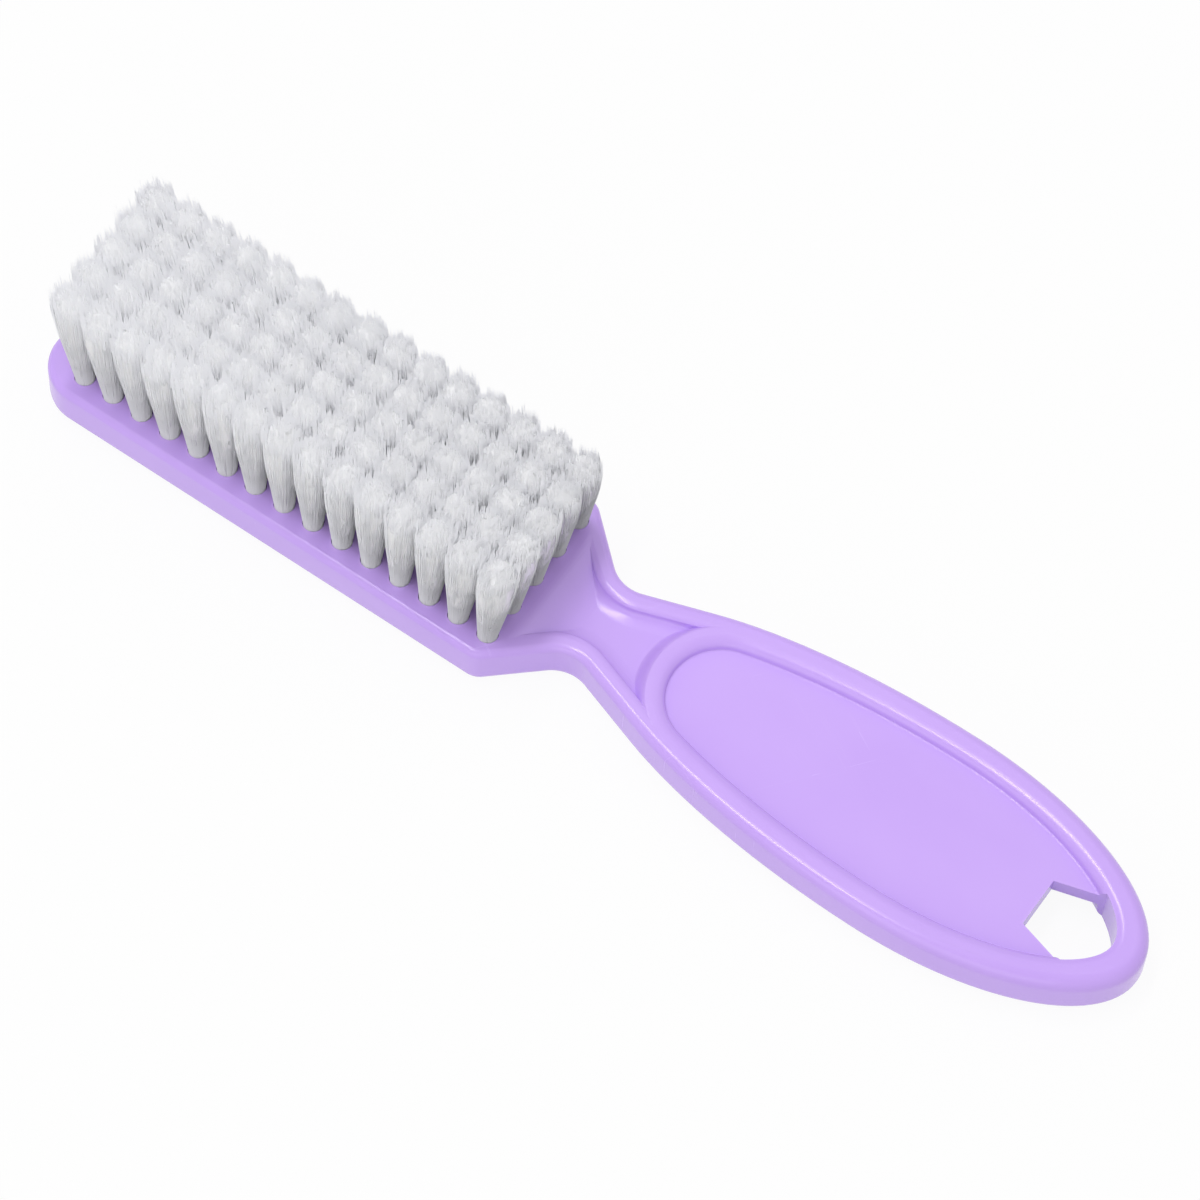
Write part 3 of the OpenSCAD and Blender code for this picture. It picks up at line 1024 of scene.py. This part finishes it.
# %% Scuffs group
scuffs, entry, leave = new_group(
    "hairline_scuffs",
    [("Turn", VECTOR, (0, 0, 0)), ("Waves a metre", VECTOR, (60, 3500, 60)), ("Rarity", FLOAT, 0.66)],
    [("Mask", FLOAT)],
)
laid = scuffs.nodes.new("ShaderNodeVectorRotate")
laid.rotation_type = "EULER_XYZ"
stretch = scuffs.nodes.new("ShaderNodeVectorMath")
stretch.operation = "MULTIPLY"
lines = scuffs.nodes.new("ShaderNodeTexNoise")
lines.inputs["Scale"].default_value = 1
lines.inputs["Detail"].default_value = 2
places = scuffs.nodes.new("ShaderNodeTexNoise")
places.inputs["Scale"].default_value = 90
scuffs.links.new(object_place(scuffs.nodes), laid.inputs["Vector"])
scuffs.links.new(entry.outputs["Turn"], laid.inputs["Rotation"])
scuffs.links.new(laid.outputs[0], stretch.inputs[0])
scuffs.links.new(entry.outputs["Waves a metre"], stretch.inputs[1])
scuffs.links.new(stretch.outputs[0], lines.inputs["Vector"])
scuffs.links.new(object_place(scuffs.nodes), places.inputs["Vector"])
full = math_node(scuffs, "ADD", entry.outputs["Rarity"], 0.06)
drawn = ranged(scuffs, lines.outputs["Fac"], entry.outputs["Rarity"], full)
kept = math_node(scuffs, "MULTIPLY", drawn, ranged(scuffs, places.outputs["Fac"], 0.5, 0.62))
scuffs.links.new(kept, leave.inputs["Mask"])
print(scuffs.name, "has", len(scuffs.nodes), "nodes")

# %% Helpers that put a finish together


def new_material(name):
    """A material with its nodes, and its Principled shader."""
    material = bpy.data.materials.new(name)
    material.use_nodes = True
    return material.node_tree, material.node_tree.nodes["Principled BSDF"], material


def placed(tree, group, **values):
    """Places a node group in a material with its own values, and returns its first output."""
    node = tree.nodes.new("ShaderNodeGroup")
    node.node_tree = group
    for label, value in values.items():
        node.inputs[label.replace("_", " ")].default_value = value
    return node.outputs[0]


def blended(tree, share, one, other):
    """A colour between one and the other, each a socket or a colour."""
    node = tree.nodes.new("ShaderNodeMix")
    node.data_type = "RGBA"
    tree.links.new(share, node.inputs["Factor"])
    for slot, value in ((node.inputs[6], one), (node.inputs[7], other)):
        if isinstance(value, tuple):
            slot.default_value = (*value, 1)
        else:
            tree.links.new(value, slot)
    return node.outputs[2]


def raised(tree, shader, height, depth):
    """Feeds a height to the shader's normal, as a relief of a given depth in metres."""
    node = tree.nodes.new("ShaderNodeBump")
    node.inputs["Strength"].default_value = 1
    node.inputs["Distance"].default_value = depth
    tree.links.new(height, node.inputs["Height"])
    tree.links.new(node.outputs["Normal"], shader.inputs["Normal"])


def wear(obj, material):
    """Gives a piece its one material."""
    obj.data.materials.clear()
    obj.data.materials.append(material)


# %% [markdown]
# ## The moulded plastic
#
# The body is lavender polypropylene or ABS with a soft gloss. Its colour isn't quite even, because
# the pigment flows with the melt, so a slow pattern shifts it a little. Two sets of hairline scuffs
# at a slant to each other, a trace of grain and slightly paler, duller edges are what keep it from
# looking like wax.

# %% Body plastic
PLASTIC_COLOUR = (0.605, 0.402, 0.94)
PLASTIC_DEEP = (0.575, 0.372, 0.92)
PLASTIC_PALE = (0.66, 0.47, 0.95)
PLASTIC_SCUFFED = (0.72, 0.56, 0.95)
PLASTIC_ROUGHNESS = 0.2
EDGE_PALE_SHARE = 0.5
EDGE_DULLING = 0.08
SCUFF_SHARE = 0.08
SCUFF_DULLING = 0.08
FLOW_DULLING = 0.06
SCUFF_DEPTH = 0.3
PLASTIC_RELIEF = 0.000004

tree, shader, plastic = new_material("lavender_plastic")
flow = placed(tree, grain, Waves_a_metre=(45, 70, 90), Detail=2)
colour = blended(tree, ranged(tree, flow, 0.3, 0.7), PLASTIC_COLOUR, PLASTIC_DEEP)
edges = placed(tree, edge_wear, Radius=0.0007, Start=0.01, Full=0.12)
colour = blended(tree, math_node(tree, "MULTIPLY", edges, EDGE_PALE_SHARE), colour, PLASTIC_PALE)
first_set = placed(tree, scuffs, Turn=(0, 0, 0.5), Rarity=0.66)
second_set = placed(tree, scuffs, Turn=(0, 0, -0.9), Rarity=0.68)
scuffed = math_node(tree, "MAXIMUM", first_set, second_set)
colour = blended(tree, math_node(tree, "MULTIPLY", scuffed, SCUFF_SHARE), colour, PLASTIC_SCUFFED)
tree.links.new(colour, shader.inputs["Base Color"])
edges_dulled = math_node(tree, "MULTIPLY", edges, EDGE_DULLING)
scuffs_dulled = math_node(tree, "MULTIPLY", scuffed, SCUFF_DULLING)
dulled = math_node(tree, "ADD", edges_dulled, scuffs_dulled)
uneven = math_node(tree, "MULTIPLY", flow, FLOW_DULLING)
dulled = math_node(tree, "ADD", dulled, uneven)
roughness = math_node(tree, "ADD", dulled, PLASTIC_ROUGHNESS - FLOW_DULLING / 2)
tree.links.new(roughness, shader.inputs["Roughness"])
fine = placed(tree, grain, Waves_a_metre=(2600, 2600, 2600), Detail=3)
relief = math_node(tree, "SUBTRACT", fine, math_node(tree, "MULTIPLY", scuffed, SCUFF_DEPTH))
raised(tree, shader, relief, PLASTIC_RELIEF)
wear(moulding, plastic)
print(plastic.name, "has", len(tree.nodes), "nodes")

# %% [markdown]
# ## The nylon
#
# White nylon filament is drawn through a die, so its surface is streaked lengthwise. Each filament
# carries its own tone as an attribute of the mesh, and a pattern stretched along the tuft adds the
# streaks, on the core as on the filaments. The core stands for a mass of filaments, so light enters
# and spreads in it, which the filaments are too thin for. Near the hole the tuft's colour is painted
# a little darker and more lilac: a painted shade, with the lilac light that the plastic round it
# throws back painted in as well.

# %% Nylon
NYLON_BRIGHT = (0.965, 0.97, 1)
NYLON_DIM = (0.94, 0.945, 0.99)
# The colour of the painted shade and painted lilac reflection at the tuft's root.
NYLON_ROOT_SHADE = (0.9, 0.87, 0.98)
ROOT_SHADE_HEIGHT = 8
ROOT_SHADE_SHARE = 0.5
TONE_SHARE = 0.45
STREAK_SHARE = 0.55
NYLON_ROUGHNESS = 0.35
STREAK_ROUGHNESS = 0.2
SCATTER_LENGTH = 0.0015
FILAMENT_RELIEF = 0.00001
MASS_RELIEF = 0.00004


def nylon_finish(name, passing, relief):
    """White nylon through which a share of the light passes, with streaks of a given depth."""
    tree, shader, material = new_material(name)
    tone = tree.nodes.new("ShaderNodeAttribute")
    tone.attribute_name = "tone"
    streaks = placed(tree, grain, Waves_a_metre=(5200, 5200, 120), Detail=2)
    share = math_node(
        tree, "ADD",
        math_node(tree, "MULTIPLY", tone.outputs["Fac"], TONE_SHARE),
        math_node(tree, "MULTIPLY", ranged(tree, streaks, 0.4, 0.7), STREAK_SHARE),
    )
    colour = blended(tree, share, NYLON_BRIGHT, NYLON_DIM)
    height = tree.nodes.new("ShaderNodeSeparateXYZ")
    tree.links.new(object_place(tree.nodes), height.inputs[0])
    # Towards the hole the colour is painted darker and more lilac: painted shade, and a painted reflection
    # of the plastic's colour.
    painted_root_shade = ranged(tree, height.outputs["Z"], (body_h + ROOT_SHADE_HEIGHT) * MM, body_h * MM)
    colour = blended(tree, math_node(tree, "MULTIPLY", painted_root_shade, ROOT_SHADE_SHARE), colour, NYLON_ROOT_SHADE)
    tree.links.new(colour, shader.inputs["Base Color"])
    uneven = math_node(tree, "MULTIPLY", streaks, STREAK_ROUGHNESS)
    roughness = math_node(tree, "ADD", uneven, NYLON_ROUGHNESS)
    tree.links.new(roughness, shader.inputs["Roughness"])
    shader.inputs["Subsurface Weight"].default_value = passing
    shader.inputs["Subsurface Radius"].default_value = (1, 1, 1)
    shader.inputs["Subsurface Scale"].default_value = SCATTER_LENGTH
    raised(tree, shader, streaks, relief)
    print(name, "has", len(tree.nodes), "nodes")
    return material


nylon = nylon_finish("white_nylon", 0, FILAMENT_RELIEF)
for piece in tuft_pieces:
    wear(piece, nylon)
nylon_mass = nylon_finish("nylon_mass", 1, MASS_RELIEF)
for piece in core_pieces:
    wear(piece, nylon_mass)

# %% [markdown]
# ## The wire
#
# The anchors lie out of sight in the folds, but they are there and have their finish: brass wire
# with patches of tarnish, the lines that the die draws along it, and edges rubbed a little brighter.

# %% Brass wire
BRASS = (0.62, 0.48, 0.25)
BRASS_DULL = (0.42, 0.31, 0.17)
BRASS_BRIGHT = (0.8, 0.66, 0.4)
WIRE_ROUGHNESS = 0.28
LINE_ROUGHNESS = 0.2
WIRE_RELIEF = 0.000003

tree, shader, brass = new_material("drawn_wire")
along_wire = (0, 0, -math.radians(ANCHOR_TURN))
die_lines = placed(tree, scuffs, Turn=along_wire, Waves_a_metre=(80, 9000, 9000), Rarity=0.5)
tarnish = placed(tree, grain, Waves_a_metre=(900, 900, 900), Detail=3)
colour = blended(tree, ranged(tree, tarnish, 0.35, 0.7), BRASS, BRASS_DULL)
edges = placed(tree, edge_wear, Radius=0.0001, Start=0.01, Full=0.2)
colour = blended(tree, edges, colour, BRASS_BRIGHT)
tree.links.new(colour, shader.inputs["Base Color"])
shader.inputs["Metallic"].default_value = 1
uneven = math_node(tree, "MULTIPLY", die_lines, LINE_ROUGHNESS)
roughness = math_node(tree, "ADD", uneven, WIRE_ROUGHNESS)
tree.links.new(roughness, shader.inputs["Roughness"])
raised(tree, shader, die_lines, WIRE_RELIEF)
for i in range(COLUMNS):
    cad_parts[f"anchor_col_{i + 1:02d}"].material_slots[0].material = brass
print(brass.name, "has", len(tree.nodes), "nodes")

# %% [markdown]
# ## Light and background
#
# Most of the light comes evenly from the pale surroundings, as in a product photograph, and a large
# soft lamp behind the brush adds to it. A long, narrow lamp almost overhead shows as the bright line
# along every edge that turns to the near side, and one in front keeps the near side from going grey.
#
# Floor and surroundings look white to the camera and in reflections. The light that they cast on
# the brush is set apart from that, at a plain level, so that the background can be white without
# washing out the nylon.

# %% Lamps, floor and world


def area_lamp(name, place, size, power):
    """A rectangular lamp that shines from a place, in metres, towards the origin."""
    lamp = bpy.data.lights.new(name, "AREA")
    lamp.shape = "RECTANGLE"
    lamp.size, lamp.size_y = size
    lamp.energy = power
    obj = bpy.data.objects.new(name, lamp)
    obj.location = place
    obj.rotation_euler = (-Vector(place)).to_track_quat("-Z", "Y").to_euler()
    bpy.context.scene.collection.objects.link(obj)


area_lamp("soft_box", place=(0.05, 0.5, 0.85), size=(0.9, 0.6), power=0.8)
area_lamp("strip", place=(-0.18, -0.05, 0.78), size=(0.6, 0.07), power=2.1)
area_lamp("front_fill", place=(0.15, -0.8, 0.4), size=(0.8, 0.5), power=1.1)


def background_rays(tree):
    """A value of 1 for rays that see the background as such, and 0 for rays that carry its light."""
    path = tree.nodes.new("ShaderNodeLightPath").outputs
    seen = math_node(tree, "MAXIMUM", path["Is Camera Ray"], path["Is Glossy Ray"])
    return math_node(tree, "MAXIMUM", seen, path["Is Transmission Ray"])


WORLD_LIGHT = 0.62
FLOOR_SIZE = 4
FLOOR_ALBEDO = 0.85
FLOOR_WHITE = 0.93

world = bpy.data.worlds.new("studio")
world.use_nodes = True
bpy.context.scene.world = world
nodes, links = world.node_tree.nodes, world.node_tree.links
sky = nodes["Background"]
strength = nodes.new("ShaderNodeMapRange")
strength.inputs["To Min"].default_value = WORLD_LIGHT
strength.inputs["To Max"].default_value = 1
links.new(background_rays(world.node_tree), strength.inputs["Value"])
links.new(strength.outputs["Result"], sky.inputs["Strength"])
sky.inputs["Color"].default_value = (1, 1, 1, 1)

bm = bmesh.new()
bmesh.ops.create_grid(bm, x_segments=1, y_segments=1, size=FLOOR_SIZE / 2)
floor_mesh = bpy.data.meshes.new("floor")
bm.to_mesh(floor_mesh)
bm.free()
floor = bpy.data.objects.new("floor", floor_mesh)
bpy.context.scene.collection.objects.link(floor)

tree, shader, floor_material = new_material("pale_floor")
nodes, links = tree.nodes, tree.links
shader.inputs["Base Color"].default_value = (FLOOR_ALBEDO, FLOOR_ALBEDO, FLOOR_ALBEDO, 1)
shader.inputs["Roughness"].default_value = 1
shader.inputs["Specular IOR Level"].default_value = 0
glow = nodes.new("ShaderNodeEmission")
glow.inputs["Strength"].default_value = 1
mix = nodes.new("ShaderNodeMixShader")
links.new(math_node(tree, "MULTIPLY", background_rays(tree), FLOOR_WHITE), mix.inputs[0])
links.new(shader.outputs[0], mix.inputs[1])
links.new(glow.outputs[0], mix.inputs[2])
links.new(mix.outputs[0], nodes["Material Output"].inputs["Surface"])
wear(floor, floor_material)

bpy.context.scene.view_settings.view_transform = "Standard"
